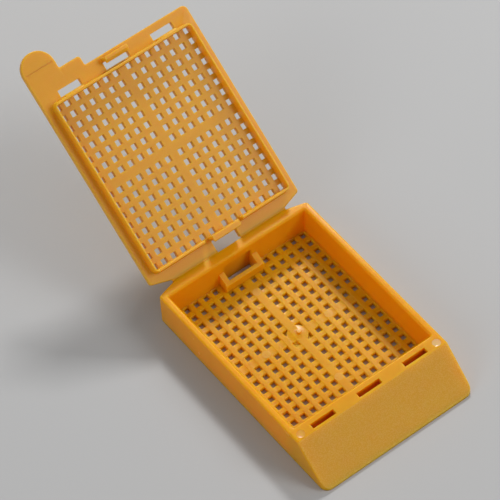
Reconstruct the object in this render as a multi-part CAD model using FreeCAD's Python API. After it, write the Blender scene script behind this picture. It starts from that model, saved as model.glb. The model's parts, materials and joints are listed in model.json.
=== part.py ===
import FreeCAD, Part
import math
import os

# A tissue cassette: a shallow perforated tray with a sloped writing face, and a
# perforated lid on a living hinge. The whole thing is one acetal moulding.
#
# Frame: +X across the width, +Y from the writing face towards the hinge, +Z up.
# The origin is on the tray's flat underside, under the middle of the hole pattern.
# The lid is drawn lying flat behind the tray, as it leaves the mould, and is then
# turned up about the hinge line to the angle at which it stands open.

os.makedirs("parts", exist_ok=True)
Vector = FreeCAD.Vector

# ------------------------------------------------------------ driving dimensions, mm
# Tray, outside
TRAY_WIDTH = 28.5
TRAY_LENGTH = 41.06
RIM_HEIGHT = 6.2
SIDE_DRAFT = 0.1            # each side leans in by this much, rim to foot
CORNER_CUT_X = 3.4          # plan cut off each rear corner
CORNER_CUT_Y = 0.95
FOOT_CORNER_R = 1.3         # plan radius at the foot of the writing face
OUTER_EDGE_R = 0.3          # rounding along the rim's outer edge

# Tray, walls and floor
SIDE_WALL = 1.23
REAR_WALL = 1.87
FRONT_WALL = 0.8
FLOOR = 0.8
RAIL_HEIGHT = 0.04          # lands between hole columns stand above the cross lands
RAIL_TO_HOLE = 0.1          # rail's edge to the holes beside it
WELL_CORNER_R = 0.5
WELL_EDGE_CHAMFER = 0.28    # lead-in round the mouth of the well

# Writing face, with the strip at rim height behind it
SLOPE_ANGLE = 42.0
FOOT_LIP = 0.4              # height of the upright edge at the foot of the slope
STRIP = 2.5                 # depth of the level strip, front to back
STRIP_THICKNESS = 0.85
SLOPE_PLATE = 1.0

# Strip slots: one in the middle for the lid's hook, one towards each side
SLOT_LENGTH = 4.3
SLOT_WIDTH = 0.9
SLOT_OFFSET = 8.7
SLOT_TO_SLOPE = 0.45        # land between a slot and the top of the slope

# Hole pattern, the same in the tray and the lid
HOLE = 0.92
COLUMNS = 14
ROWS = 16
MIDDLE_GAP_X = 0.60         # extra land down the middle
MIDDLE_GAP_Y = 0.69         # extra land across the middle
SIDE_LAND = 0.43            # last column to the well's side wall
END_LAND = 0.665            # last row to the end of the lid's rim space
PATTERN_SHIFT = 0.475       # the tray's pattern sits this far behind the well's middle

# Gate at the middle of the floor
GATE_R = 1.65
GATE_DOME = 0.18
GATE_WEB = 0.3              # thin web closing what is left of the four openings round the gate
GATE_PLUG = 0.6             # one of the four is filled higher
NUB_R = 0.32
NUB_HEIGHT = 0.45
NUB_X = 0.35
NUB_Y = 0.15

# Round ejector marks
MARK_R = 0.7
MARK_DEPTH = 0.05
STRIP_MARK_INSET = 1.35     # from the side of the tray
FLOOR_MARK_X = 6.0
FLOOR_MARK_Y = 10.0

# Rear latch boss and its pocket
BOSS_HALF_WIDTH = 3.6
BOSS_DEPTH = 1.95           # out from the rear wall
BOSS_DROP_FRONT = 3.8       # below the rim, at its front face
BOSS_DROP_REAR = 2.8        # below the rim, where it meets the wall
POCKET_LIP = 0.62           # wall left in front of the pocket
CATCH_DEPTH = 0.7           # recess into the rear wall
CATCH_DROP = 1.55           # below the rim, where the recess starts
CATCH_RAMP = 0.6            # height over which it reaches its full depth

# Lid
LID_THICKNESS = 1.0
LID_SETBACK = 0.05          # inside the tray's outline when shut
LID_EDGE_R = 0.15
LID_CORNER_R = 0.9
CLOSED_GAP = 0.05           # lid's underside above the rim when shut
RIM_DEPTH = 1.55
RIM_WALL_SIDE = 0.36
RIM_WALL_END = 0.48
RIM_CORNER_R = 1.0
RIM_DRAFT = 0.06
RIM_FOOT_R = 0.2
FIT_SIDE = 0.08             # rim to the well's side walls
FIT_END = 0.15              # rim to the well's end walls

# Thumb tab and the step beside it
TAB_R = 2.83
TAB_REACH = 3.0             # tab's centre beyond the lid's front edge
TAB_GROOVE_WIDTH = 0.16
TAB_GROOVE_DEPTH = 0.12
STEP_LENGTH = 3.75
STEP_REACH = 1.65
STEP_CORNER_R = 0.5

# Openings in the lid's front flange, next to the rim
LID_SLOT_LENGTH = 4.0
LID_SLOT_WIDTH = 1.08
LID_SLOT_TO_RIM = 0.27

# Middle hook at the lid's front; it passes through the strip's middle slot
HOOK_HALF_WIDTH = 2.1
HOOK_HEIGHT = 1.6
HOOK_FIT = 0.1              # hook to each long side of its slot
HOOK_CATCH = 0.25           # nose under the edge of the slot
HOOK_NOSE_GAP = 0.08        # nose below the strip
HOOK_NOSE_TALL = 0.3
HOOK_SLOT_TO_RIM = 0.1

# Snap beads on the front of the lid's rim, with grooves in the tray to match
BEAD_LENGTH = 3.4
BEAD_SNAP = 0.1             # bead past the face of the well's front wall
BEAD_HALF_TALL = 0.25
BEAD_DEPTH = 1.0            # bead's crest below the lid's underside
GROOVE_FIT = 0.08

# Rear tongue of the lid, between two gaps in the rim
TONGUE_HALF_WIDTH = 2.55
TONGUE_GAP = 1.08
TONGUE_HEIGHT = 2.3
TONGUE_WALL = 0.5
BARB_REACH = 0.57
BARB_RAMP = 0.7
BARB_TIP = 0.1
POCKET_SIDE_FIT = 0.1       # tongue to each side of the pocket, beyond its own width
NOTCH_HALF_WIDTH = 2.2
NOTCH_TO_TONGUE = 0.3

# Living hinge: two thin films along one line, either side of the notch
FILM_WIDTH = 0.2
FILM_THICKNESS = 0.25
OPEN_ANGLE = 35.0           # lid above flat, as it stands open

# ------------------------------------------------------------ derived places
HALF_WIDTH = TRAY_WIDTH / 2
WELL_HALF_X = HALF_WIDTH - SIDE_WALL
SLOPE_RUN = (RIM_HEIGHT - FOOT_LIP) / math.tan(math.radians(SLOPE_ANGLE))
WELL_HALF_Y = (TRAY_LENGTH - REAR_WALL - STRIP - SLOPE_RUN) / 2
WELL_MIDDLE_Y = -PATTERN_SHIFT
WELL_REAR_Y = WELL_MIDDLE_Y + WELL_HALF_Y
WELL_FRONT_Y = WELL_MIDDLE_Y - WELL_HALF_Y
REAR_EDGE_Y = WELL_REAR_Y + REAR_WALL
SLOPE_TOP_Y = WELL_FRONT_Y - STRIP
FOOT_Y = SLOPE_TOP_Y - SLOPE_RUN
FLOOR_TOP = FLOOR + RAIL_HEIGHT

PATTERN_HALF_X = WELL_HALF_X - SIDE_LAND
PATTERN_HALF_Y = WELL_HALF_Y - END_LAND
PITCH_X = (PATTERN_HALF_X - HOLE / 2 - MIDDLE_GAP_X / 2) / (COLUMNS / 2 - 0.5)
PITCH_Y = (PATTERN_HALF_Y - HOLE / 2 - MIDDLE_GAP_Y / 2) / (ROWS / 2 - 0.5)

SLOT_FRONT_Y = SLOPE_TOP_Y + SLOT_TO_SLOPE
SLOT_REAR_Y = SLOT_FRONT_Y + SLOT_WIDTH

BOSS_FRONT_Y = WELL_REAR_Y - BOSS_DEPTH
POCKET_FRONT_Y = BOSS_FRONT_Y + POCKET_LIP
POCKET_HALF_WIDTH = TONGUE_HALF_WIDTH + POCKET_SIDE_FIT

HINGE_Y = REAR_EDGE_Y + FILM_WIDTH / 2
HINGE_Z = RIM_HEIGHT + CLOSED_GAP / 2

# The lid's own middle is over the well's middle when the lid is shut.
LID_MIDDLE = HINGE_Y - WELL_MIDDLE_Y        # from the hinge line
LID_UNDERSIDE = HINGE_Z - CLOSED_GAP / 2    # height of the underside, lid lying flat
LID_HALF_WIDTH = HALF_WIDTH - LID_SETBACK
LID_REAR = -(LID_MIDDLE - FILM_WIDTH / 2)   # edges measured from the lid's middle
LID_FRONT = WELL_MIDDLE_Y - SLOPE_TOP_Y - LID_SETBACK
RIM_HALF_X = WELL_HALF_X - FIT_SIDE
RIM_HALF_Y = WELL_HALF_Y - FIT_END
TAB_X = -LID_HALF_WIDTH + TAB_R
TAB_Y = LID_FRONT + TAB_REACH
FILM_OUTER_X = HALF_WIDTH - CORNER_CUT_X

EPS = 0.01                  # cutting tools run past a face by this much


# ------------------------------------------------------------ shape helpers
def block(x0, x1, y0, y1, z0, z1):
    """Box between two corners."""
    return Part.makeBox(x1 - x0, y1 - y0, z1 - z0, Vector(x0, y0, z0))


def side_prism(outline, x0, x1):
    """Outline of (y, z) points, carried along X from x0 to x1."""
    points = [Vector(x0, y, z) for y, z in outline]
    face = Part.Face(Part.makePolygon(points + points[:1]))
    return face.extrude(Vector(x1 - x0, 0, 0))


def plan_wire(corners, z):
    """Closed wire at height z through (x, y, radius) corners, each one rounded."""
    edges = []
    ends = []
    count = len(corners)
    for i in range(count):
        here = Vector(corners[i][0], corners[i][1], z)
        before = Vector(corners[i - 1][0], corners[i - 1][1], z)
        after = Vector(corners[(i + 1) % count][0], corners[(i + 1) % count][1], z)
        radius = corners[i][2]
        back = (before - here).normalize()
        on = (after - here).normalize()
        if radius < EPS:
            ends.append((here, here))
            continue
        half_angle = back.getAngle(on) / 2
        reach = radius / math.tan(half_angle)
        inward = (back + on).normalize()
        centre = here + inward * (radius / math.sin(half_angle))
        start = here + back * reach
        finish = here + on * reach
        edges.append((i, Part.Arc(start, centre - inward * radius, finish).toShape()))
        ends.append((start, finish))
    arcs = dict(edges)
    path = []
    for i in range(count):
        if i in arcs:
            path.append(arcs[i])
        start = ends[i][1]
        finish = ends[(i + 1) % count][0]
        if start.distanceToPoint(finish) > EPS / 10:
            path.append(Part.makeLine(start, finish))
    return Part.Wire(path)


def plan_prism(corners, z0, z1):
    """Upright solid over a rounded plan outline."""
    return Part.Face(plan_wire(corners, z0)).extrude(Vector(0, 0, z1 - z0))


def rounded_rectangle(half_x, half_y, middle_y, radius):
    """Corners of a rectangle about (0, middle_y), for plan_wire."""
    return [(half_x, middle_y - half_y, radius), (half_x, middle_y + half_y, radius),
            (-half_x, middle_y + half_y, radius), (-half_x, middle_y - half_y, radius)]


def tapered(lower, z0, upper, z1):
    """Straight-sided solid between two plan outlines."""
    return Part.makeLoft([plan_wire(lower, z0), plan_wire(upper, z1)], True, True)


def rounded(solid, radius, chosen):
    """Rounds the edges for which chosen(edge) is true."""
    edges = [edge for edge in solid.Edges if chosen(edge)]
    return solid.makeFillet(radius, edges)


def one_solid(shape):
    """The single solid that a boolean should have left."""
    clean = shape.removeSplitter()
    if len(clean.Solids) != 1:
        raise ValueError("expected one solid, got %d" % len(clean.Solids))
    return clean.Solids[0]


def pattern_places(count, pitch, middle_gap):
    """Hole centres along one direction, with a wider land in the middle."""
    places = []
    for i in range(count):
        step = i - (count - 1) / 2
        places.append(step * pitch + math.copysign(middle_gap / 2, step))
    return places


def hole_columns():
    return pattern_places(COLUMNS, PITCH_X, MIDDLE_GAP_X)


def hole_rows():
    return pattern_places(ROWS, PITCH_Y, MIDDLE_GAP_Y)


def hole_tools(middle_y, z0, z1, blocked):
    """Square cutters for the pattern, leaving out each place that is blocked."""
    half = HOLE / 2
    tools = []
    for x in hole_columns():
        for y in hole_rows():
            if not blocked(x, y):
                place = middle_y + y
                tools.append(block(x - half, x + half, place - half, place + half, z0, z1))
    return Part.makeCompound(tools)


# ------------------------------------------------------------ tray
def tray_plan(inset):
    """Outer plan of the tray, its sides drawn in by inset."""
    half = HALF_WIDTH - inset
    cut_y = REAR_EDGE_Y - CORNER_CUT_Y
    return [(half, FOOT_Y, FOOT_CORNER_R), (half, cut_y, 0),
            (half - CORNER_CUT_X, REAR_EDGE_Y, 0), (-half + CORNER_CUT_X, REAR_EDGE_Y, 0),
            (-half, cut_y, 0), (-half, FOOT_Y, FOOT_CORNER_R)]


def is_outer_rim_edge(edge):
    """Rim and slope edges down both sides, and over the cut rear corners."""
    box = edge.BoundBox
    inner = HALF_WIDTH - CORNER_CUT_X - 2 * SIDE_DRAFT
    beside = box.XMin > inner or box.XMax < -inner
    level_rim = box.ZMin > RIM_HEIGHT - EPS
    down_slope = box.ZMax > RIM_HEIGHT - EPS and box.ZLength > EPS and box.YMax < SLOPE_TOP_Y + EPS
    return beside and (level_rim or down_slope)


def tray_outside():
    """Drafted block with the writing slope cut off its front."""
    body = tapered(tray_plan(SIDE_DRAFT), 0, tray_plan(0), RIM_HEIGHT)
    profile = [(FOOT_Y - EPS, -EPS), (FOOT_Y - EPS, FOOT_LIP), (FOOT_Y, FOOT_LIP),
               (SLOPE_TOP_Y, RIM_HEIGHT), (SLOPE_TOP_Y, RIM_HEIGHT + EPS),
               (REAR_EDGE_Y + EPS, RIM_HEIGHT + EPS), (REAR_EDGE_Y + EPS, -EPS)]
    body = body.common(side_prism(profile, -HALF_WIDTH - EPS, HALF_WIDTH + EPS))
    return rounded(one_solid(body), OUTER_EDGE_R, is_outer_rim_edge)


def well_cutter():
    """The well down to the rails, with the lead-in round its mouth."""
    mouth = RIM_HEIGHT - WELL_EDGE_CHAMFER
    spread = WELL_EDGE_CHAMFER + EPS
    walls = rounded_rectangle(WELL_HALF_X, WELL_HALF_Y, WELL_MIDDLE_Y, WELL_CORNER_R)
    wide = rounded_rectangle(WELL_HALF_X + spread, WELL_HALF_Y + spread, WELL_MIDDLE_Y,
                             WELL_CORNER_R + spread)
    lead_in = tapered(walls, mouth, wide, RIM_HEIGHT + EPS)
    return plan_prism(walls, FLOOR_TOP, RIM_HEIGHT).fuse(lead_in)


def slope_hollow():
    """Open space under the strip and the writing slope."""
    rise = math.tan(math.radians(SLOPE_ANGLE))
    plate = SLOPE_PLATE / math.sin(math.radians(SLOPE_ANGLE))
    top = RIM_HEIGHT - STRIP_THICKNESS
    rear = WELL_FRONT_Y - FRONT_WALL
    slope_at_foot = SLOPE_TOP_Y - (RIM_HEIGHT + EPS) / rise + plate
    slope_at_top = SLOPE_TOP_Y - STRIP_THICKNESS / rise + plate
    outline = [(slope_at_foot, -EPS), (min(slope_at_top, rear - EPS), top), (rear, top), (rear, -EPS)]
    return side_prism(outline, -WELL_HALF_X, WELL_HALF_X)


def strip_slots():
    """Three slots through the strip; they open into the space below it."""
    depth = RIM_HEIGHT - STRIP_THICKNESS - HOOK_HEIGHT
    tools = []
    for x in (-SLOT_OFFSET, 0, SLOT_OFFSET):
        tools.append(block(x - SLOT_LENGTH / 2, x + SLOT_LENGTH / 2, SLOT_FRONT_Y, SLOT_REAR_Y,
                           depth, RIM_HEIGHT + EPS))
    return Part.makeCompound(tools)


def bead_outline(face_y, proud, extra):
    """Snap bead's (y, z) outline on a face that looks towards -Y, lid shut."""
    crest_z = RIM_HEIGHT + CLOSED_GAP - BEAD_DEPTH
    tall = BEAD_HALF_TALL + extra
    return [(face_y + EPS, crest_z - tall), (face_y - proud - extra, crest_z - extra / 2),
            (face_y - proud - extra, crest_z + extra / 2), (face_y + EPS, crest_z + tall)]


def bead_grooves():
    """Grooves in the well's front wall that take the lid's two snap beads."""
    half = BEAD_LENGTH / 2 + GROOVE_FIT
    outline = bead_outline(WELL_FRONT_Y, BEAD_SNAP, GROOVE_FIT)
    grooves = [side_prism(outline, x - half, x + half) for x in (-SLOT_OFFSET, SLOT_OFFSET)]
    return Part.makeCompound(grooves)


def boss():
    """Block on the rear wall that frames the latch pocket; its top slopes down."""
    front_top = RIM_HEIGHT - BOSS_DROP_FRONT
    rear_top = RIM_HEIGHT - BOSS_DROP_REAR
    outline = [(BOSS_FRONT_Y, FLOOR), (BOSS_FRONT_Y, front_top), (WELL_REAR_Y, rear_top),
               (WELL_REAR_Y + EPS, rear_top), (WELL_REAR_Y + EPS, FLOOR)]
    return side_prism(outline, -BOSS_HALF_WIDTH, BOSS_HALF_WIDTH)


def latch_pocket():
    """Pocket through the boss and floor, running back into the rear wall."""
    start = RIM_HEIGHT - CATCH_DROP
    back = WELL_REAR_Y + CATCH_DEPTH
    outline = [(POCKET_FRONT_Y, -EPS), (POCKET_FRONT_Y, start), (WELL_REAR_Y, start),
               (back, start - CATCH_RAMP), (back, -EPS)]
    return side_prism(outline, -POCKET_HALF_WIDTH, POCKET_HALF_WIDTH)


def under_boss(x, y):
    """True where the boss covers a hole."""
    half = HOLE / 2
    return abs(x) - half < BOSS_HALF_WIDTH and y + half > BOSS_FRONT_Y


def rail_grooves():
    """Channels along the hole columns, so that the lands between them are rails."""
    half = HOLE / 2 + RAIL_TO_HOLE
    tools = []
    for x in hole_columns():
        tools.append(block(x - half, x + half, WELL_FRONT_Y, WELL_REAR_Y, FLOOR, FLOOR_TOP + EPS))
    return Part.makeCompound(tools)


def gate():
    """Low dome at the injection point, with the stub of the gate on it."""
    sphere_r = (GATE_R ** 2 + GATE_DOME ** 2) / (2 * GATE_DOME)
    disc = Part.makeCylinder(GATE_R, FLOOR_TOP, Vector(0, 0, 0))
    ball = Part.makeSphere(sphere_r, Vector(0, 0, FLOOR_TOP + GATE_DOME - sphere_r))
    reach = 2 * sphere_r
    dome = ball.common(block(-reach, reach, -reach, reach, FLOOR_TOP, FLOOR_TOP + reach))
    foot = Vector(NUB_X, NUB_Y, FLOOR)
    nub = Part.makeCylinder(NUB_R, FLOOR_TOP + NUB_HEIGHT - FLOOR, foot)
    nub = rounded(nub, NUB_R / 2, lambda edge: edge.BoundBox.ZMin > FLOOR_TOP)
    reach_x = MIDDLE_GAP_X / 2 + PITCH_X / 2 + HOLE / 2 + EPS
    reach_y = MIDDLE_GAP_Y / 2 + PITCH_Y / 2 + HOLE / 2 + EPS
    web = block(-reach_x, reach_x, -reach_y, reach_y, 0, GATE_WEB)
    plug = block(-reach_x, 0, -reach_y, 0, 0, GATE_PLUG)
    return disc.fuse([dome, nub, web, plug])


def floor_marks():
    """Ejector marks, level with the rails, where the middle lands are wide."""
    places = [(FLOOR_MARK_X, 0), (-FLOOR_MARK_X, 0), (0, FLOOR_MARK_Y), (0, -FLOOR_MARK_Y)]
    height = FLOOR_TOP - FLOOR + EPS
    return [Part.makeCylinder(MARK_R, height, Vector(x, y, FLOOR - EPS)) for x, y in places]


def strip_marks():
    """Ejector marks sunk in the strip beside the outer slots."""
    side = HALF_WIDTH - STRIP_MARK_INSET
    y = (SLOT_FRONT_Y + SLOT_REAR_Y) / 2
    bottom = RIM_HEIGHT - MARK_DEPTH
    tools = [Part.makeCylinder(MARK_R, 1, Vector(x, y, bottom)) for x in (-side, side)]
    return Part.makeCompound(tools)


def make_tray():
    body = tray_outside().cut(well_cutter())
    body = body.cut(slope_hollow())
    body = body.cut(rail_grooves())
    body = body.fuse([boss()] + floor_marks())
    body = body.cut(hole_tools(0, -EPS, FLOOR_TOP + EPS, under_boss))
    body = body.fuse(gate())
    body = body.cut(latch_pocket())
    body = body.cut(strip_slots())
    body = body.cut(bead_grooves())
    body = body.cut(strip_marks())
    return one_solid(body)


# ------------------------------------------------------------ lid, lying flat
def lid_y(b):
    """Y of a place b in front of the lid's middle, with the lid lying flat."""
    return HINGE_Y + LID_MIDDLE + b


def lid_outline():
    """Plan of the lid sheet, from the hinge edge round to the thumb tab."""
    half = LID_HALF_WIDTH
    rear = lid_y(LID_REAR)
    front = lid_y(LID_FRONT)
    step = front + STEP_REACH
    tab_side = TAB_X + TAB_R
    tab_top = lid_y(TAB_Y) + TAB_R
    step_end = tab_side + STEP_LENGTH
    return [(FILM_OUTER_X, rear, 0), (half, rear + CORNER_CUT_Y + LID_SETBACK, 0),
            (half, front, LID_CORNER_R), (step_end, front, STEP_CORNER_R / 2),
            (step_end, step, STEP_CORNER_R), (tab_side, step, STEP_CORNER_R / 2),
            (tab_side, tab_top, TAB_R - EPS), (-half, tab_top, TAB_R - EPS),
            (-half, rear + CORNER_CUT_Y + LID_SETBACK, 0), (-FILM_OUTER_X, rear, 0)]


def is_lid_rim_edge(edge):
    """Level edges of the sheet, apart from the hinge edge."""
    box = edge.BoundBox
    return box.ZLength < EPS and box.YMax > lid_y(LID_REAR) + EPS


def lid_sheet():
    sheet = plan_prism(lid_outline(), LID_UNDERSIDE - LID_THICKNESS, LID_UNDERSIDE)
    return rounded(sheet, LID_EDGE_R, is_lid_rim_edge)


def lid_rim():
    """Wall that drops into the well, flared where it leaves the sheet."""
    middle = lid_y(0)
    root = LID_UNDERSIDE - EPS
    top = LID_UNDERSIDE + RIM_DEPTH
    flare_top = LID_UNDERSIDE + RIM_FOOT_R
    foot = rounded_rectangle(RIM_HALF_X, RIM_HALF_Y, middle, RIM_CORNER_R)
    tip = rounded_rectangle(RIM_HALF_X - RIM_DRAFT, RIM_HALF_Y - RIM_DRAFT, middle,
                            RIM_CORNER_R - RIM_DRAFT)
    flare = rounded_rectangle(RIM_HALF_X + RIM_FOOT_R, RIM_HALF_Y + RIM_FOOT_R, middle,
                              RIM_CORNER_R + RIM_FOOT_R)
    inner = rounded_rectangle(RIM_HALF_X - RIM_WALL_SIDE, RIM_HALF_Y - RIM_WALL_END, middle,
                              RIM_CORNER_R - RIM_WALL_END)
    outside = tapered(foot, root, tip, top).fuse(tapered(flare, root, foot, flare_top))
    ring = outside.cut(plan_prism(inner, root - EPS, top + EPS))
    gap = TONGUE_HALF_WIDTH + TONGUE_GAP
    return ring.cut(block(-gap, gap, middle - RIM_HALF_Y - 1, middle, root - EPS, top + EPS))


def lid_beads():
    """Snap beads on the front face of the rim."""
    middle = lid_y(0)
    proud = FIT_END + BEAD_SNAP
    crest = LID_UNDERSIDE + BEAD_DEPTH
    face = middle + RIM_HALF_Y
    outline = [(face - RIM_WALL_END / 2, crest - BEAD_HALF_TALL), (face, crest - BEAD_HALF_TALL),
               (face + proud, crest), (face, crest + BEAD_HALF_TALL),
               (face - RIM_WALL_END / 2, crest + BEAD_HALF_TALL)]
    half = BEAD_LENGTH / 2
    return [side_prism(outline, x - half, x + half) for x in (-SLOT_OFFSET, SLOT_OFFSET)]


def lid_hook():
    """Upright hook at the front, its nose turned back towards the hinge."""
    front = lid_y(WELL_MIDDLE_Y - SLOT_FRONT_Y - HOOK_FIT)
    rear = lid_y(WELL_MIDDLE_Y - SLOT_REAR_Y + HOOK_FIT)
    nose = lid_y(WELL_MIDDLE_Y - SLOT_REAR_Y - HOOK_CATCH)
    root = LID_UNDERSIDE - EPS
    under = LID_UNDERSIDE + CLOSED_GAP + STRIP_THICKNESS + HOOK_NOSE_GAP
    tip = LID_UNDERSIDE + HOOK_HEIGHT
    outline = [(front, root), (front, tip), (rear + HOOK_FIT, tip), (nose, tip - HOOK_NOSE_TALL),
               (nose, under), (rear, under), (rear, root)]
    return side_prism(outline, -HOOK_HALF_WIDTH, HOOK_HALF_WIDTH)


def lid_tongue():
    """Upright tongue at the rear, its barb turned towards the hinge."""
    outer = lid_y(0) - RIM_HALF_Y
    root = LID_UNDERSIDE - EPS
    tip = LID_UNDERSIDE + TONGUE_HEIGHT
    crest = tip - BARB_TIP
    outline = [(outer, root), (outer, crest - BARB_RAMP), (outer - BARB_REACH, crest),
               (outer - BARB_REACH + BARB_TIP, tip), (outer + TONGUE_WALL, tip),
               (outer + TONGUE_WALL, root)]
    return side_prism(outline, -TONGUE_HALF_WIDTH, TONGUE_HALF_WIDTH)


def lid_openings():
    """Front slots, the slot behind the hook, and the open notch at the hinge edge."""
    low = LID_UNDERSIDE - LID_THICKNESS - EPS
    high = LID_UNDERSIDE + EPS
    near = lid_y(RIM_HALF_Y + LID_SLOT_TO_RIM)
    tools = []
    for x in (-SLOT_OFFSET, SLOT_OFFSET):
        half = LID_SLOT_LENGTH / 2
        tools.append(block(x - half, x + half, near, near + LID_SLOT_WIDTH, low, high))
    hook_near = lid_y(RIM_HALF_Y + HOOK_SLOT_TO_RIM)
    hook_far = lid_y(WELL_MIDDLE_Y - SLOT_REAR_Y + HOOK_FIT)
    half = NOTCH_HALF_WIDTH
    tools.append(block(-half, half, hook_near, hook_far, low, high))
    notch_near = lid_y(-RIM_HALF_Y - NOTCH_TO_TONGUE)
    tools.append(block(-half, half, lid_y(LID_REAR) - EPS, notch_near, low, high))
    return Part.makeCompound(tools)


def tab_groove():
    """Shallow score across the root of the thumb tab's round end."""
    middle = lid_y(TAB_Y)
    half = TAB_R - SIDE_LAND
    return block(TAB_X - half, TAB_X + half, middle - TAB_GROOVE_WIDTH / 2,
                 middle + TAB_GROOVE_WIDTH / 2, LID_UNDERSIDE - TAB_GROOVE_DEPTH,
                 LID_UNDERSIDE + EPS)


def turned_open(shape):
    """The same shape, turned up about the hinge line from flat to its rest."""
    turned = shape.copy()
    turned.rotate(Vector(0, HINGE_Y, HINGE_Z), Vector(1, 0, 0), OPEN_ANGLE)
    return turned


def make_lid():
    low = LID_UNDERSIDE - LID_THICKNESS - EPS
    holes = hole_tools(lid_y(0), low, LID_UNDERSIDE + EPS, lambda x, y: False)
    body = lid_sheet().cut(holes)
    body = body.cut(lid_openings())
    body = body.fuse([lid_rim(), lid_hook(), lid_tongue()] + lid_beads())
    body = body.cut(tab_groove())
    return turned_open(one_solid(body))


# ------------------------------------------------------------ hinge films
def make_film(side):
    """Thin web from the tray's rear edge to the lid's, bent to the open angle."""
    angle = math.radians(OPEN_ANGLE)
    reach = FILM_WIDTH / 2
    drop = CLOSED_GAP / 2

    def on_lid(out, down):
        y = HINGE_Y + out * math.cos(angle) + down * math.sin(angle)
        z = HINGE_Z + out * math.sin(angle) - down * math.cos(angle)
        return y, z

    outline = [(REAR_EDGE_Y, RIM_HEIGHT), (REAR_EDGE_Y, RIM_HEIGHT - FILM_THICKNESS),
               on_lid(reach, drop + FILM_THICKNESS), on_lid(reach, drop)]
    x0, x1 = sorted((side * NOTCH_HALF_WIDTH, side * FILM_OUTER_X))
    return side_prism(outline, x0, x1)


make_tray().exportStep("parts/tray.step")
make_lid().exportStep("parts/lid.step")
make_film(-1).exportStep("parts/hinge_film_left.step")
make_film(1).exportStep("parts/hinge_film_right.step")
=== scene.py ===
import bpy
import bmesh
import json
import math
from mathutils import Matrix, Vector


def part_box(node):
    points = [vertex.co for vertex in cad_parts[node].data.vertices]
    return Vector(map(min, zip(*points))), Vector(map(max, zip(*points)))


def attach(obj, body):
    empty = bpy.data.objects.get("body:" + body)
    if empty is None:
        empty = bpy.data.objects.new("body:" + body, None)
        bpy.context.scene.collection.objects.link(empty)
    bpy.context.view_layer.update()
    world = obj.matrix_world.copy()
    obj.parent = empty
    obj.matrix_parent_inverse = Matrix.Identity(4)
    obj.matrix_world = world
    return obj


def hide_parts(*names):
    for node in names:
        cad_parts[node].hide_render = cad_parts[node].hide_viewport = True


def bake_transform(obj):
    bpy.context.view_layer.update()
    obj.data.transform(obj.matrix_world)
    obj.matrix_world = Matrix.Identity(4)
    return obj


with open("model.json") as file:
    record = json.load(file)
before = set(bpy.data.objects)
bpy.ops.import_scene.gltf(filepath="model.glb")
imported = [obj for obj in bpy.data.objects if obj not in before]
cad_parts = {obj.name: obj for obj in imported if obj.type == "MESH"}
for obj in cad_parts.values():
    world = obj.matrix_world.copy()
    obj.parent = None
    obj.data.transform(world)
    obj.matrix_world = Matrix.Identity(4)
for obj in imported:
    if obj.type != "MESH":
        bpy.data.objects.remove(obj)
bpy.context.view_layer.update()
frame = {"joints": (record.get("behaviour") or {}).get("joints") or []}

# ---------------------------------------------------------------- the table it stands on
# A tissue cassette, moulded in one shot of amber acetal and standing open on a pale
# laminate bench top. A small lamp shines from a window behind it on the right, a wide soft
# one from the front right and a weaker one from the left, in a pale room.
MM = 0.001

camera = bpy.data.objects.new("camera", bpy.data.cameras.new("camera"))
bpy.context.scene.collection.objects.link(camera)
camera.data.sensor_width = 36
camera.data.lens = 255.85
camera.data.clip_end = 10
turn, height, lean = (math.radians(a) for a in (-35.66, 53.88, 2.746))
toward_camera = Vector((math.sin(turn) * math.cos(height), -math.cos(turn) * math.cos(height),
                        math.sin(height)))
level = Vector((math.cos(turn), math.sin(turn), 0))
upright = toward_camera.cross(level)
across = math.cos(lean) * level - math.sin(lean) * upright
along = math.sin(lean) * level + math.cos(lean) * upright
camera.matrix_world = (Matrix.Translation((-0.18384, -0.24494, 0.44251))
                       @ Matrix((across, along, toward_camera)).transposed().to_4x4())
bpy.context.scene.camera = camera
bpy.context.scene.view_settings.view_transform = "Standard"


def lamp(name, direction, distance, size, power):
    """A square soft lamp in that direction from the middle of the cassette."""
    light = bpy.data.lights.new(name, "AREA")
    light.size = size
    light.energy = power
    stand = bpy.data.objects.new(name, light)
    bpy.context.scene.collection.objects.link(stand)
    toward = Vector(direction).normalized()
    stand.location = Vector((0, 0.01, 0.006)) + toward * distance
    stand.rotation_euler = toward.to_track_quat("Z", "Y").to_euler()


lamp("window_lamp", (0.49, 0.59, 0.64), 0.6, 0.08, 1.9)
lamp("front_lamp", (0.59, -0.50, 0.67), 0.8, 0.35, 2.0)
lamp("side_lamp", (-0.85, -0.1, 0.5), 0.8, 0.4, 0.95)
room = bpy.data.worlds.new("room")
bpy.context.scene.world = room
room.use_nodes = True
walls = room.node_tree.nodes["Background"]
walls.inputs["Color"].default_value = (1, 1, 1, 1)
walls.inputs["Strength"].default_value = 0.30

bench = bpy.data.meshes.new("bench_top")
bench.from_pydata([(-2, -2, 0), (2, -2, 0), (2, 2, 0), (-2, 2, 0)], [], [(0, 1, 2, 3)])
bench_top = bpy.data.objects.new("bench_top", bench)
bpy.context.scene.collection.objects.link(bench_top)
laminate = bpy.data.materials.new("bench_laminate")
laminate.use_nodes = True
laminate_shader = laminate.node_tree.nodes["Principled BSDF"]
laminate_shader.inputs["Base Color"].default_value = (0.52, 0.52, 0.52, 1)
laminate_shader.inputs["Roughness"].default_value = 0.8
bench.materials.append(laminate)

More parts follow.
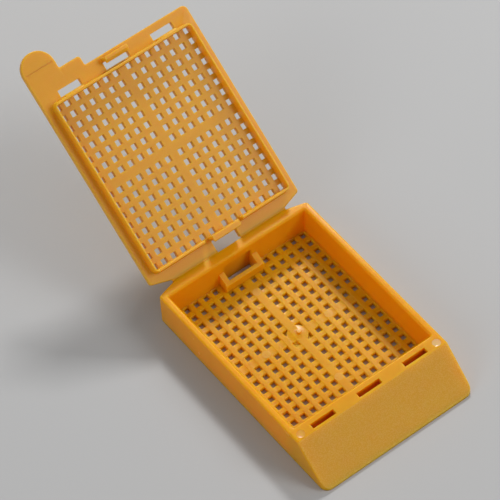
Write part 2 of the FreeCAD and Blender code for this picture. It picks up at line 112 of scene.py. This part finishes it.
# ---------------------------------------------------------------- tray
# The tray is the cassette's lower half: a shallow well with a perforated floor, a level
# strip with three slots in front of it, and the sloped face that is written on. It is
# injection moulded in acetal through the gate in the middle of its floor.
tray_low, tray_high = (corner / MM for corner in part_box("tray"))
half_width = tray_high.x
rim = tray_high.z
rear = tray_high.y
foot = tray_low.y
side_wall = 1.23
corner_cut = 3.4
floor_top = 0.8
rail_top = 0.84
toe = 0.4
slope_tilt = math.radians(42)
slope_top = foot + (rim - toe) / math.tan(slope_tilt)
well_x = half_width - side_wall
well_rear = rear - 1.87
well_front = slope_top + 2.5
well_half_y = (well_rear - well_front) / 2
well_y = (well_rear + well_front) / 2
hole = 0.92
pitch_x, middle_x = 1.82, 0.60
pitch_y, middle_y = 1.8206, 0.69
columns, rows = 14, 16
slot_width = 0.9
slot_y = slope_top + 0.45 + slot_width / 2
snap_x = 8.7
mark_x = half_width - 1.35
mark_radius = 0.7
floor_mark_x, floor_mark_y = 6, 10
boss_half = 3.6
gate_x, gate_y = 0.35, 0.15


def rounded_plan(corners, steps=6):
    """Points round a plan whose corners are (x, y, radius)."""
    points = []
    for i in range(len(corners)):
        here = Vector(corners[i][:2])
        back = (Vector(corners[i - 1][:2]) - here).normalized()
        on = (Vector(corners[(i + 1) % len(corners)][:2]) - here).normalized()
        radius = corners[i][2]
        if radius == 0:
            points.append(here)
            continue
        half_angle = back.angle(on) / 2
        centre = here + (back + on).normalized() * radius / math.sin(half_angle)
        start = here + back * radius / math.tan(half_angle) - centre
        sweep = math.copysign(math.pi - 2 * half_angle, on.cross(back))
        points += [centre + Matrix.Rotation(sweep * k / steps, 2) @ start
                   for k in range(steps + 1)]
    return points


def rectangle(half_x, half_y, y, radius):
    """Corners of a rectangle in plan, for rounded_plan."""
    return [(half_x, y - half_y, radius), (half_x, y + half_y, radius),
            (-half_x, y + half_y, radius), (-half_x, y - half_y, radius)]


def closed_mesh(name, rings):
    """Solid through rings of (x, y, z) points in millimetres, capped at both ends."""
    shape = bmesh.new()
    made = [[shape.verts.new(Vector(p) * MM) for p in ring] for ring in rings]
    for low, high in zip(made, made[1:]):
        for i in range(len(low)):
            shape.faces.new((low[i - 1], low[i], high[i], high[i - 1]))
    shape.faces.new(reversed(made[0]))
    shape.faces.new(made[-1])
    bmesh.ops.recalc_face_normals(shape, faces=shape.faces)
    mesh = bpy.data.meshes.new(name)
    shape.to_mesh(mesh)
    shape.free()
    piece = bpy.data.objects.new(name, mesh)
    bpy.context.scene.collection.objects.link(piece)
    return piece


def upright_solid(name, levels):
    """Solid through plan outlines, each with its height: [(points, z), ...]."""
    return closed_mesh(name, [[(p[0], p[1], z) for p in points] for points, z in levels])


def sideways_solid(name, outline, x0, x1):
    """Outline of (y, z) points carried across the width."""
    return closed_mesh(name, [[(x, y, z) for y, z in outline] for x in (x0, x1)])


def settle(piece):
    """Turns a piece's modifiers into its own mesh."""
    shown = piece.evaluated_get(bpy.context.evaluated_depsgraph_get())
    mesh = bpy.data.meshes.new_from_object(shown)
    piece.modifiers.clear()
    piece.data = mesh


def carve(piece, tool, way="DIFFERENCE"):
    """Cuts a tool out of a piece, or joins it on with UNION."""
    cut = piece.modifiers.new("cut", "BOOLEAN")
    cut.operation = way
    cut.solver = "MANIFOLD"
    cut.object = tool
    settle(piece)
    bpy.data.objects.remove(tool)


def soften(piece, radius, share=lambda middle, along: 1.0):
    """Rounds the sharp edges; share(middle, direction) says how much of the radius each gets."""
    shape = bmesh.new()
    shape.from_mesh(piece.data)
    bmesh.ops.remove_doubles(shape, verts=shape.verts, dist=1e-7)
    bmesh.ops.dissolve_limit(shape, angle_limit=math.radians(0.5), verts=shape.verts,
                             edges=shape.edges, delimit=set())
    weights = shape.edges.layers.float.new("bevel_weight_edge")
    for edge in shape.edges:
        if edge.calc_face_angle(0) > math.radians(30):
            a, b = (v.co / MM for v in edge.verts)
            edge[weights] = share((a + b) / 2, (b - a).normalized())
    shape.to_mesh(piece.data)
    shape.free()
    bevel = piece.modifiers.new("soften", "BEVEL")
    bevel.limit_method = "WEIGHT"
    bevel.width = radius * MM
    bevel.segments = 3
    bevel.use_clamp_overlap = False
    settle(piece)


class Sum:
    """One value in a node tree; sums written with it become Math nodes."""

    def __init__(self, tree, socket=None):
        self.tree = tree
        self.socket = socket

    def node(self, kind, settings=None, sockets=None, out=0):
        """A node of that kind: its settings first, then values or links for its sockets."""
        made = self.tree.nodes.new(kind)
        for name, value in (settings or {}).items():
            if name == "stops":
                ramp = made.color_ramp.elements
                while len(ramp) < len(value):
                    ramp.new(0.5)
                for stop, (place, colour) in zip(ramp, value):
                    stop.position = place
                    stop.color = (*colour, 1)
            else:
                setattr(made, name, value)
        for name, value in (sockets or {}).items():
            if isinstance(value, Sum):
                self.tree.links.new(value.socket, made.inputs[name])
            else:
                made.inputs[name].default_value = value
        return Sum(self.tree, made.outputs[out])

    def output(self, name):
        """Another output of the same node."""
        return Sum(self.tree, self.socket.node.outputs[name])

    def maths(self, operation, *values):
        return self.node("ShaderNodeMath", {"operation": operation}, dict(enumerate(values)))

    def __add__(self, other):
        return self.maths("ADD", self, other)

    def __sub__(self, other):
        return self.maths("SUBTRACT", self, other)

    def __rsub__(self, other):
        return self.maths("SUBTRACT", other, self)

    def __mul__(self, other):
        return self.maths("MULTIPLY", self, other)

    def __truediv__(self, other):
        return self.maths("DIVIDE", self, other)

    def __gt__(self, other):
        return self.maths("GREATER_THAN", self, other)

    def __lt__(self, other):
        return self.maths("LESS_THAN", self, other)

    def __abs__(self):
        return self.maths("ABSOLUTE", self)

    __radd__ = __add__
    __rmul__ = __mul__


# The mould's square pins leave rows of openings: one tree makes a pin with a rounded
# shoulder at each end, repeats it in columns and rows with a wider land in the middle,
# and takes the lot out of the moulding.
pins = bpy.data.node_groups.new("mould_pins", "GeometryNodeTree")
pins.interface.new_socket("Moulding", in_out="INPUT", socket_type="NodeSocketGeometry")
for title in ("Columns", "Rows"):
    pins.interface.new_socket(title, in_out="INPUT", socket_type="NodeSocketInt")
for title in ("Pitch across", "Pitch along", "Middle across", "Middle along", "Width", "Length",
              "Centre along", "Low", "High", "Top rounding", "Under rounding", "Rounding across",
              "Clear half width", "Clear from"):
    pins.interface.new_socket(title, in_out="INPUT", socket_type="NodeSocketFloat")
pins.interface.new_socket("Plastic", in_out="INPUT", socket_type="NodeSocketMaterial")
pins.interface.new_socket("Perforated", in_out="OUTPUT", socket_type="NodeSocketGeometry")
given = Sum(pins).node("NodeGroupInput")
size = given.output
blank = given.node("GeometryNodeMeshCube", None, {"Size": (2, 2, 7), "Vertices X": 2,
                                                  "Vertices Y": 2, "Vertices Z": 8})
at = given.node("ShaderNodeSeparateXYZ", None, {0: given.node("GeometryNodeInputPosition")})
upper = at.output("Z") > 0
arc = (abs(at.output("Z")) - 0.5) * math.radians(30)
rounding = upper * size("Top rounding") + (1 - upper) * size("Under rounding")
flare = rounding * (1 - given.maths("COSINE", arc))
drop = abs(rounding) * (1 - given.maths("SINE", arc)) - (arc > 1.5) * 0.003 * MM
shaped = given.node("ShaderNodeCombineXYZ", None, {
    "X": at.output("X") * (size("Width") / 2 + flare * size("Rounding across")),
    "Y": at.output("Y") * (size("Length") / 2 + flare),
    "Z": upper * (size("High") - drop) + (1 - upper) * (size("Low") + drop)})
pin = given.node("GeometryNodeSetPosition", None, {"Geometry": blank, "Position": shaped})
grid = given.node("GeometryNodeMeshGrid", None, {
    "Size X": (size("Columns") - 1) * size("Pitch across"),
    "Size Y": (size("Rows") - 1) * size("Pitch along"),
    "Vertices X": size("Columns"), "Vertices Y": size("Rows")})
spot = given.node("ShaderNodeSeparateXYZ", None, {0: given.node("GeometryNodeInputPosition")})
spread = given.node("ShaderNodeCombineXYZ", None, {
    "X": given.maths("SIGN", spot.output("X")) * size("Middle across") / 2,
    "Y": given.maths("SIGN", spot.output("Y")) * size("Middle along") / 2 + size("Centre along")})
places = given.node("GeometryNodeSetPosition", None, {"Geometry": grid, "Offset": spread})
blocked = ((abs(spot.output("X")) - size("Width") / 2 < size("Clear half width"))
           * (spot.output("Y") + size("Length") / 2 > size("Clear from")))
places = given.node("GeometryNodeDeleteGeometry", {"domain": "POINT"},
                    {"Geometry": places, "Selection": blocked})
row = given.node("GeometryNodeInstanceOnPoints", None, {"Points": places, "Instance": pin})
row = given.node("GeometryNodeRealizeInstances", None, {"Geometry": row})
opened = given.node("GeometryNodeMeshBoolean", {"operation": "DIFFERENCE", "solver": "MANIFOLD"},
                    {"Mesh 1": size("Moulding"), "Mesh 2": row})
opened = given.node("GeometryNodeRealizeInstances", None, {"Geometry": opened})
opened = given.node("GeometryNodeSetMaterial", None,
                    {"Geometry": opened, "Material": size("Plastic")})
pins.links.new(opened.socket, pins.nodes.new("NodeGroupOutput").inputs[0])


def perforate(piece, plastic, **sizes):
    """Takes rows of pins out of a piece; lengths are in millimetres, and _ stands for a space."""
    pinned = piece.modifiers.new("pins", "NODES")
    pinned.node_group = pins
    ready = {"Clear half width": 0.0, "Clear from": 1000.0, "Plastic": plastic}
    ready.update({name.replace("_", " "): value for name, value in sizes.items()})
    for name, value in ready.items():
        length = isinstance(value, float) and name != "Rounding across"
        pinned[pins.interface.items_tree[name].identifier] = value * MM if length else value
    settle(piece)


def at_spot(amount, x, y, z):
    """An amount that is the same all over, or worked out from the place."""
    return amount(x, y, z) if callable(amount) else amount


def acetal(name, dull, sheen, pale=0, pin_polish_and_glints=0, dished=0, lean=0, glow=2.0,
           amber=(0.81, 0.393), painted_shade=None):
    """Amber acetal as moulded: how dull it is, how strong its sheen, and in amber how much
    red and green it has. pale says where it is matt and gets pale specks, partly the matt grain
    and partly a painted sheen; the next argument says where an ejector pin has polished it,
    with a painted glint that makes the right strip mark and the gate's stub paler still; dished
    is how far it has sunk, in millimetres, and the last colour argument says where a painted
    redder shade stands in for light that only comes through the plastic; lean turns them with
    the piece, and glow is how many millimetres light wanders in it."""
    plastic = bpy.data.materials.new(name)
    plastic.use_nodes = True
    shader = plastic.node_tree.nodes["Principled BSDF"]
    start = Sum(plastic.node_tree)
    place = start.node("ShaderNodeTexCoord").output("Object")
    flat = start.node("ShaderNodeVectorRotate", {"rotation_type": "X_AXIS"},
                      {"Vector": place, "Center": hinge, "Angle": -lean})
    flat = start.node("ShaderNodeVectorMath", {"operation": "SCALE"}, {0: flat, "Scale": 1 / MM})
    spot = start.node("ShaderNodeSeparateXYZ", None, {0: flat})
    x, y, z = (spot.output(axis) for axis in "XYZ")
    matt = at_spot(pale, x, y, z)
    polish_and_glint = at_spot(pin_polish_and_glints, x, y, z)
    cloud, peel, grain = (
        start.node("ShaderNodeTexNoise", None, {"Vector": place, "Scale": scale, "Detail": detail})
        for scale, detail in ((220.0, 3.0), (2200.0, 2.0), (6000.0, 1.0)))
    red, green = amber
    tone = start.node("ShaderNodeValToRGB", {"stops": [
        (0.30, (red - 0.01, green - 0.015, 0.003)), (0.52, (red, green, 0.004)),
        (0.75, (red + 0.01, green + 0.015, 0.005))]}, {"Fac": cloud})
    # Painted shade: a deeper red mixed in where light reaches only through the plastic.
    if painted_shade:
        tone = start.node("ShaderNodeMix", {"data_type": "RGBA", "blend_type": "MIX"}, {
            0: painted_shade(x, y, z), 6: tone, 7: (0.97, 0.26, 0.001, 1)}, out=2)
    # Pale specks on matt places: partly the matt grain, partly a painted sheen that brightens
    # them.
    speck_and_sheen = start.node("ShaderNodeMix", {"data_type": "RGBA", "blend_type": "MIX"}, {
        0: matt * (0.22 + 0.38 * (grain > 0.52)), 6: tone, 7: (0.97, 0.54, 0.14, 1)}, out=2)
    # Painted highlight as well as polish: the pin ends are mixed towards a pale colour, most where
    # they glint.
    colour = start.node("ShaderNodeMix", {"data_type": "RGBA", "blend_type": "MIX"}, {
        0: 0.40 * polish_and_glint, 6: speck_and_sheen, 7: (0.88, 0.60, 0.34, 1)}, out=2)
    rough = dull + 0.12 * (cloud - 0.5) + 0.38 * matt - 0.1 * polish_and_glint
    height = 0.0016 * peel + 0.012 * matt * grain + at_spot(dished, x, y, z)
    bump = start.node("ShaderNodeBump", None, {"Strength": 1.0, "Distance": MM, "Height": height})
    for socket, value in (("Base Color", colour), ("Roughness", rough), ("Normal", bump)):
        plastic.node_tree.links.new(value.socket, shader.inputs[socket])
    shader.inputs["IOR"].default_value = 1.48
    shader.inputs["Specular IOR Level"].default_value = sheen
    shader.inputs["Subsurface Weight"].default_value = 1.0
    shader.inputs["Subsurface Radius"].default_value = (1.0, 0.78, 0.35)
    shader.inputs["Subsurface Scale"].default_value = glow * MM
    return plastic


def dress(piece, plastic, body, node):
    """Smooths a finished moulding's roundings and puts it in the CAD node's place."""
    piece.data.materials.clear()
    piece.data.materials.append(plastic)
    piece.data.shade_smooth()
    piece.data.set_sharp_from_angle(angle=math.radians(38))
    even = piece.modifiers.new("even_normals", "WEIGHTED_NORMAL")
    even.keep_sharp = True
    even.weight = 80
    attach(piece, body)
    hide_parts(node)


hinge = Vector(frame["joints"][0]["pos_m"])


def apart(start_at, x, y, to_x, to_y):
    """How far a point of the surface is from an upright line."""
    here = start_at.node("ShaderNodeCombineXYZ", None, {"X": x, "Y": y})
    return start_at.node("ShaderNodeVectorMath", {"operation": "DISTANCE"},
                         {0: here, 1: (to_x, to_y, 0)}, out="Value")


def writing_face(x, y, z):
    """The slope, which the mould leaves matt so that it takes a pencil; the pale specks it gets
    are partly a painted sheen.
    """
    above = (z - rim) * math.cos(slope_tilt) - (y - slope_top) * math.sin(slope_tilt)
    return (abs(above) < 0.05) * (y < slope_top - 0.02)


def pin_marks_and_glints(x, y, z):
    """The polished ends of the ejector pins: two on the strip, four on the floor, and the gate's
    stub; a painted glint makes the right one on the strip and the stub paler still.
    """
    polished = mark_radius - 0.02
    # The right strip mark is weighted more than the left as a painted glint.
    strip = (apart(x, abs(x), y, mark_x, slot_y) < polished) * (0.5 + 1.2 * (x > 0))
    floor = ((apart(x, abs(x), y, floor_mark_x, 0) < polished)
             + (apart(x, x, abs(y), 0, floor_mark_y) < polished))
    stub = (apart(x, x, y, gate_x, gate_y) < 0.3) * (z > rail_top + 0.25)
    return strip + (0.5 * floor + 1.4 * stub) * (z > rail_top - 0.01)


def groove_sink(x, y, z):
    """The floor of each groove between the rails has sunk a little in the middle, and so
    has each ejector mark on the strip."""
    column = abs(x) - (pitch_x + middle_x) / 2 + 20.5 * pitch_x
    off = abs(column.maths("MODULO", column, pitch_x) - 0.5 * pitch_x) / (hole / 2 + 0.1)
    on_floor = (z > floor_top - 0.03) * (z < rail_top + 0.02)
    out = apart(x, abs(x), y, mark_x, slot_y) / mark_radius
    return (0.02 * on_floor * off.maths("MINIMUM", off * off, 1.0)
            + 0.05 * out.maths("MINIMUM", out * out, 1.0))


def slot_painted_shade(x, y, z):
    """The walls of the strip's slots and what shows through them, painted a deeper red shade."""
    return ((abs(x) < half_width - 1.4) * (abs(y - (slope_top + 1.1)) < 0.68)
            * (z < rim - 0.12))


# The tray's amber is redder and less green than the lid's: painted shade, for the deeper red of
# its shaded walls.
tray_acetal = acetal("tray_acetal", 0.25, 0.24, writing_face, pin_marks_and_glints, groove_sink,
                     amber=(0.85, 0.375), painted_shade=slot_painted_shade)


def tray_plan(inset):
    """The tray from above: round corners in front, two long chamfers behind."""
    side = half_width - inset
    return rounded_plan([
        (side, foot, 1.3), (side, rear - 0.95, 0.5), (side - corner_cut, rear, 0),
        (corner_cut - side, rear, 0), (-side, rear - 0.95, 0.5), (-side, foot, 1.3)])


def circle(radius, count=40):
    """Points round a circle about the middle."""
    return [Vector((math.cos(math.tau * k / count), math.sin(math.tau * k / count))) * radius
            for k in range(count)]


def shifted(points, x, y):
    """The same outline, moved in plan."""
    return [p + Vector((x, y)) for p in points]


tray = upright_solid("tray_moulding", [(tray_plan(0.1), 0), (tray_plan(0), rim)])
carve(tray, sideways_solid("slope", [(foot - 1, toe), (foot, toe), (slope_top, rim),
                                     (slope_top, rim + 1), (foot - 1, rim + 1)], -20, 20))
carve(tray, upright_solid("well", [
    (rounded_plan(rectangle(well_x, well_half_y, well_y, 0.25)), rail_top),
    (rounded_plan(rectangle(well_x, well_half_y, well_y, 0.25)), rim - 0.28),
    (rounded_plan(rectangle(well_x + 0.33, well_half_y + 0.33, well_y, 0.5)), rim + 0.05)]))
slope = math.tan(slope_tilt)
under_slope = slope_top + 1.0 / math.sin(slope_tilt)
carve(tray, sideways_solid("hollow", [
    (under_slope - (rim + 1) / slope, -1), (under_slope - 0.85 / slope, rim - 0.85),
    (well_front - 0.8, rim - 0.85), (well_front - 0.8, -1)], -well_x, well_x))


def tray_rounding(middle, along):
    """The rim's outer edge and the slope's sides are rounded most, fading out at the foot."""
    corner = middle.y > rear - 0.96 and abs(middle.x) > half_width - corner_cut
    if middle.z > rim - 0.01 and (corner or abs(middle.x) > half_width - 0.25):
        return 1.0
    if middle.z > toe + 0.01 and middle.y < slope_top and abs(along.z) > 0.05:
        return min(1.0, 0.33 + 0.67 * (middle.y - foot) / 1.3)
    return 0.33


soften(tray, 0.3, tray_rounding)

boss_front = well_rear - 1.95
pocket_front = boss_front + 0.62
grooves = dict(Rows=1, Width=hole + 0.2, Low=floor_top, High=rail_top, Top_rounding=0.006,
               Under_rounding=-0.033, Rounding_across=2.2, Pitch_across=pitch_x, Pitch_along=1.0,
               Middle_along=0.0)
perforate(tray, tray_acetal, Columns=10, Middle_across=4 * pitch_x + middle_x,
          Length=2 * well_half_y - 0.11, Centre_along=well_y, **grooves)
perforate(tray, tray_acetal, Columns=4, Middle_across=middle_x,
          Length=boss_front - well_front - 0.11, Centre_along=(boss_front + well_front) / 2,
          **grooves)

boss = sideways_solid("latch_boss", [
    (boss_front, 0.6), (boss_front, rim - 3.8), (well_rear + 0.39, rim - 2.6),
    (well_rear + 0.39, 0.6)], -boss_half, boss_half)
carve(boss, sideways_solid("pocket", [(pocket_front, -1), (pocket_front, 9), (20, 9), (20, -1)],
                           -2.65, 2.65))
soften(boss, 0.09)
carve(tray, boss, "UNION")
for x, y in ((floor_mark_x, 0), (-floor_mark_x, 0), (0, floor_mark_y), (0, -floor_mark_y)):
    disc = shifted(circle(mark_radius), x, y)
    small = shifted(circle(mark_radius - 0.025), x, y)
    carve(tray, upright_solid("ejector_mark", [(disc, 0.5), (disc, rail_top + 0.005),
                                               (small, rail_top + 0.015)]), "UNION")
pattern = dict(Columns=columns, Rows=rows, Pitch_across=pitch_x, Pitch_along=pitch_y,
               Middle_across=middle_x, Middle_along=middle_y, Width=hole, Length=hole)
perforate(tray, tray_acetal, Centre_along=0.0, Low=0.0, High=floor_top, Top_rounding=0.1,
          Under_rounding=0.06, Rounding_across=0.25, Clear_half_width=boss_half,
          Clear_from=boss_front, **pattern)
web_x = (middle_x + pitch_x + hole) / 2 + 0.03
web_y = (middle_y + pitch_y + hole) / 2 + 0.03
web = rounded_plan(rectangle(web_x, web_y, 0, 0))
carve(tray, upright_solid("gate_web", [(web, 0.04), (web, 0.3)]), "UNION")
plug = shifted(rounded_plan(rectangle(web_x / 2, web_y / 2, -web_y / 2, 0)), -web_x / 2, 0)
carve(tray, upright_solid("gate_plug", [(plug, 0.2), (plug, 0.48)]), "UNION")
dome, dome_radius = 0.09, 1.65
carve(tray, upright_solid("gate", [(circle(dome_radius), 0.03)] + [
    (circle(dome_radius * r), floor_top - 0.01 + dome * (1 - r ** 2) ** 1.5)
    for r in (1.0, 0.9, 0.78, 0.65, 0.5, 0.35, 0.15)]), "UNION")
dent_x, dent_y = (middle_x + pitch_x) / -2, (middle_y + pitch_y) / -2
carve(tray, upright_solid("gate_dent", [
    (shifted(rounded_plan(rectangle(half, half, 0, 0.06)), dent_x, dent_y), z)
    for half, z in ((0.28, 0.56), (0.36, 0.64), (0.44, 0.80), (0.47, 0.95))]))
carve(tray, upright_solid("gate_stub", [
    (shifted(circle(r, 24), gate_x, gate_y), rail_top + up)
    for r, up in ((0.44, -0.1), (0.42, 0.04), (0.34, 0.14), (0.31, 0.30), (0.27, 0.38),
                  (0.14, 0.44))]), "UNION")
carve(tray, sideways_solid("latch_recess", [
    (pocket_front + 0.01, -1), (pocket_front + 0.01, rim - 1.55), (well_rear, rim - 1.55),
    (well_rear + 0.7, rim - 2.15), (well_rear + 0.7, -1)], -2.64, 2.64))
perforate(tray, tray_acetal, Columns=3, Rows=1, Pitch_across=snap_x, Pitch_along=1.0,
          Middle_across=0.0, Middle_along=0.0, Width=4.3, Length=slot_width, Centre_along=slot_y,
          Low=3.75, High=rim, Top_rounding=0.07, Under_rounding=0.02, Rounding_across=1.0)
bead_half = 1.7
groove_z = 5.25
for side in (-snap_x, snap_x):
    carve(tray, sideways_solid("bead_groove", [
        (well_front + 0.05, groove_z - 0.39), (well_front - 0.18, groove_z - 0.04),
        (well_front - 0.18, groove_z + 0.04), (well_front + 0.05, groove_z + 0.39)],
        side - bead_half - 0.08, side + bead_half + 0.08))
    where = math.copysign(mark_x, side)
    carve(tray, upright_solid("strip_mark", [
        (shifted(circle(mark_radius + wider), where, slot_y), rim + up)
        for wider, up in ((-0.03, -0.05), (0, -0.02), (0.02, 0.5))]))
dress(tray, tray_acetal, "tray", "tray")

# ---------------------------------------------------------------- lid
# The lid is a perforated sheet with a rim that drops into the well, moulded flat behind the
# tray in the same shot. Its thumb tab and step stick out at the front, beside the slots over
# which the hook and the two snap beads stand; a barbed tongue latches at the rear.
lean_back = -math.radians(frame["joints"][0]["range_deg"][0])
underside = rim
sheet = 1.0
film_reach = 0.1
rear_edge = hinge.y / MM + film_reach
lid_middle = hinge.y / MM + 17.0947
front_edge = lid_middle + well_y - slope_top - 0.05
lid_x = half_width - 0.05
rim_x = well_x - 0.08
rim_y = well_half_y - 0.15
tab_half = 2.83
tab_x = -lid_x + tab_half
tab_y = front_edge + 3.0
tab_side = tab_x + tab_half
step_side = tab_side + 3.75
step_y = front_edge + 1.65
# Pale speckle for the lid and hinge: partly matt grain, partly a painted sheen.
matt_and_sheen = 0.15

# The lid's amber is less red than the tray's, the other half of that painted shade.
lid_acetal = acetal("lid_acetal", 0.313, 0.36, pale=matt_and_sheen, lean=lean_back, glow=1.2,
                    amber=(0.785, 0.393))
outline = rounded_plan([
    (half_width - corner_cut, rear_edge, 0), (lid_x, rear_edge + 1.0, 0.5),
    (lid_x, front_edge, 0.9), (step_side, front_edge, 0.25), (step_side, step_y, 0.5),
    (tab_side, step_y, 0.25), (tab_side, tab_y + tab_half, tab_half - 0.01),
    (-lid_x, tab_y + tab_half, tab_half - 0.01), (-lid_x, rear_edge + 1.0, 0.5),
    (corner_cut - half_width, rear_edge, 0)], 12)
lid = upright_solid("lid_moulding", [(outline, underside - sheet), (outline, underside)])
notch_end = lid_middle - rim_y - 0.3
carve(lid, sideways_solid("hinge_notch", [(rear_edge - 1, 0), (rear_edge - 1, 9), (notch_end, 9),
                                          (notch_end, 0)], -2.2, 2.2))
soften(lid, 0.15, lambda middle, along: 1.0 if middle.y > rear_edge + 0.05 else 0.15)
perforate(lid, lid_acetal, Centre_along=lid_middle, Low=underside - sheet, High=underside,
          Top_rounding=0.09, Under_rounding=0.07, Rounding_across=1.0, **pattern)
slots = dict(Rows=1, Pitch_along=1.0, Middle_across=0.0, Middle_along=0.0,
             Low=underside - sheet, High=underside, Top_rounding=0.08, Under_rounding=0.08,
             Rounding_across=1.0)
bead_slot = 1.08
perforate(lid, lid_acetal, Columns=2, Pitch_across=2 * snap_x, Width=4.0, Length=bead_slot,
          Centre_along=lid_middle + rim_y + 0.27 + bead_slot / 2, **slots)
hook_near = lid_middle + rim_y + 0.1
hook_far = lid_middle + well_y - slot_y - slot_width / 2 + 0.1
perforate(lid, lid_acetal, Columns=1, Pitch_across=1.0, Width=4.4, Length=hook_far - hook_near,
          Centre_along=(hook_near + hook_far) / 2, **slots)

wall = upright_solid("rim_wall", [
    (rounded_plan(rectangle(rim_x + grow, rim_y + grow, lid_middle, 1.0 + grow)), underside + up)
    for grow, up in ((0.2, -0.1), (0.2, 0), (0.08, 0.05), (0.02, 0.2), (-0.06, 1.55))])
carve(wall, upright_solid("rim_inside", [
    (rounded_plan(rectangle(rim_x - inset, rim_y - inset - 0.12, lid_middle, 0.28)),
     underside + up)
    for inset, up in ((0.46, -1), (0.46, 0), (0.36, 1.55), (0.36, 2))]))
carve(wall, sideways_solid("tongue_gaps", [(0, 0), (0, 9), (lid_middle, 9), (lid_middle, 0)],
                           -3.63, 3.63))
soften(wall, 0.11, lambda middle, along: 1.0 if middle.z > underside + 0.3 else 0.0)
carve(lid, wall, "UNION")

tongue_y = lid_middle - rim_y
tongue = sideways_solid("latch_tongue", [
    (tongue_y, underside - 0.2), (tongue_y, underside + 1.5), (tongue_y - 0.57, underside + 2.2),
    (tongue_y - 0.47, underside + 2.3), (tongue_y + 0.5, underside + 2.3),
    (tongue_y + 0.5, underside - 0.2)], -2.55, 2.55)
soften(tongue, 0.08, lambda middle, along: 1.0 if middle.z > underside else 0.0)
carve(lid, tongue, "UNION")
hook_front = lid_middle + well_y - slot_y + 0.35
hook_rear = hook_front - 0.7
hook = sideways_solid("strip_hook", [
    (hook_front, underside - 0.2), (hook_front, underside + 1.6),
    (hook_rear + 0.1, underside + 1.6), (hook_rear - 0.35, underside + 1.3),
    (hook_rear - 0.35, underside + 0.98), (hook_rear, underside + 0.98),
    (hook_rear, underside - 0.2)], -2.1, 2.1)
soften(hook, 0.08, lambda middle, along: 1.0 if middle.z > underside else 0.0)
carve(lid, hook, "UNION")
rim_front = lid_middle + rim_y
for side in (-snap_x, snap_x):
    bead = sideways_solid("snap_bead", [
        (rim_front - 0.3, underside + 0.75), (rim_front, underside + 0.75),
        (rim_front + 0.25, underside + 1.0), (rim_front, underside + 1.25),
        (rim_front - 0.3, underside + 1.25)], side - bead_half, side + bead_half)
    soften(bead, 0.05)
    carve(lid, bead, "UNION")
carve(lid, sideways_solid("tab_score", [
    (tab_y - 0.08, underside - 0.12), (tab_y - 0.11, underside + 1), (tab_y + 0.11, underside + 1),
    (tab_y + 0.08, underside - 0.12)], tab_x - 2.4, tab_x + 2.4))
lid.data.transform(Matrix.Translation(hinge) @ Matrix.Rotation(lean_back, 4, "X")
                   @ Matrix.Translation(-hinge))
dress(lid, lid_acetal, "lid", "lid")

# ---------------------------------------------------------------- living hinge
# Two webs of the same acetal, a quarter of a millimetre thick, join the lid to the tray on
# either side of the notch. Each one is pinched in the middle, where it folds.
film_acetal = acetal("hinge_acetal", 0.45, 0.4, pale=matt_and_sheen, glow=0.1)
steps = 10
for node in ("hinge_film_left", "hinge_film_right"):
    low, high = (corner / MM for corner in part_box(node))
    above, below = [], []
    for k in range(steps + 1):
        share = k / steps
        pinch = math.sin(math.pi * share)
        tilt = lean_back * share
        forward = Vector((math.cos(tilt), math.sin(tilt)))
        downward = Vector((math.sin(tilt), -math.cos(tilt)))
        bedded = 0.03 * ((k == steps) - (k == 0))
        base = (Vector((hinge.y, hinge.z)) / MM
                + forward * (2 * film_reach * share - film_reach + bedded))
        above.append(base + downward * (0.025 + 0.03 * pinch))
        below.append(base + downward * (0.275 - 0.06 * pinch))
    film = sideways_solid(node + "_moulded", above + below[::-1], low.x, high.x)
    film.data.materials.append(film_acetal)
    film.data.shade_smooth()
    film.data.set_sharp_from_angle(angle=math.radians(38))
    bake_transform(film)
    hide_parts(node)
